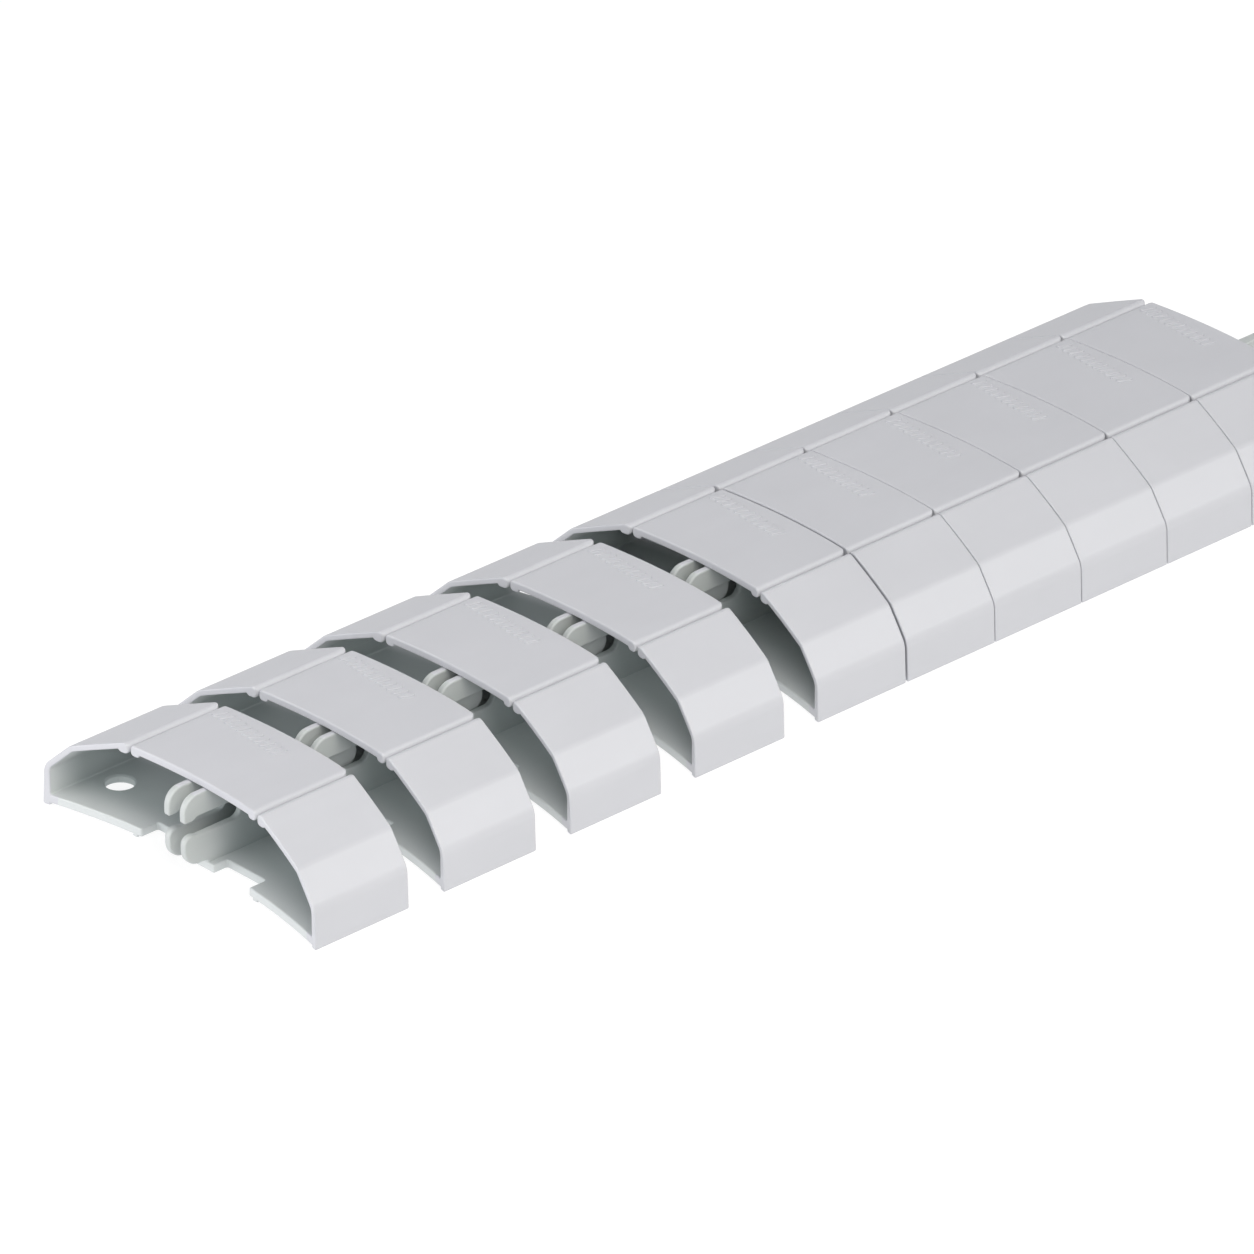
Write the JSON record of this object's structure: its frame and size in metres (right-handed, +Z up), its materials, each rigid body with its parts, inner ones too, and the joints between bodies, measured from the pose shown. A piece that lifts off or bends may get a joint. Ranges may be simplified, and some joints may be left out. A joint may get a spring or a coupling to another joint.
{
  "type": "flexible floor cable channel",
  "caption": "Flexible floor cable channel: low chain of plastic links on sliding pins, each with cable chambers opened by slits beside a central top plate.",
  "frame": {"origin": "middle of the footprint, on the floor", "axes": "+Y along the channel from the open fork of the first link to the tongue of the last, +Z up, X across"},
  "size_m": [0.1, 0.3736, 0.025],
  "materials": {
    "light_grey_plastic": "satin light grey moulding, slightly cool"
  },
  "bodies": {
    "link_01": {"link_01": "light_grey_plastic"},
    "link_02": {"link_02": "light_grey_plastic"},
    "link_03": {"link_03": "light_grey_plastic"},
    "link_04": {"link_04": "light_grey_plastic"},
    "link_05": {"link_05": "light_grey_plastic"},
    "link_06": {"link_06": "light_grey_plastic"},
    "link_07": {"link_07": "light_grey_plastic"},
    "link_08": {"link_08": "light_grey_plastic"},
    "link_09": {"link_09": "light_grey_plastic"},
    "link_10": {"link_10": "light_grey_plastic"}
  },
  "joints": [
    {"name": "slide_01_02", "type": "slide", "parent": "link_01", "child": "link_02", "axis": [0, 1, 0], "range_m": [-0.011, 0]},
    {"name": "slide_02_03", "type": "slide", "parent": "link_02", "child": "link_03", "axis": [0, 1, 0], "range_m": [-0.011, 0]},
    {"name": "slide_03_04", "type": "slide", "parent": "link_03", "child": "link_04", "axis": [0, 1, 0], "range_m": [-0.011, 0]},
    {"name": "slide_04_05", "type": "slide", "parent": "link_04", "child": "link_05", "axis": [0, 1, 0], "range_m": [-0.011, 0]},
    {"name": "slide_05_06", "type": "slide", "parent": "link_05", "child": "link_06", "axis": [0, 1, 0], "range_m": [-0.0004, 0.0106]},
    {"name": "slide_06_07", "type": "slide", "parent": "link_06", "child": "link_07", "axis": [0, 1, 0], "range_m": [0, 0.011]},
    {"name": "slide_07_08", "type": "slide", "parent": "link_07", "child": "link_08", "axis": [0, 1, 0], "range_m": [0, 0.011]},
    {"name": "slide_08_09", "type": "slide", "parent": "link_08", "child": "link_09", "axis": [0, 1, 0], "range_m": [0, 0.011]},
    {"name": "slide_09_10", "type": "slide", "parent": "link_09", "child": "link_10", "axis": [0, 1, 0], "range_m": [0, 0.011]}
  ]
}
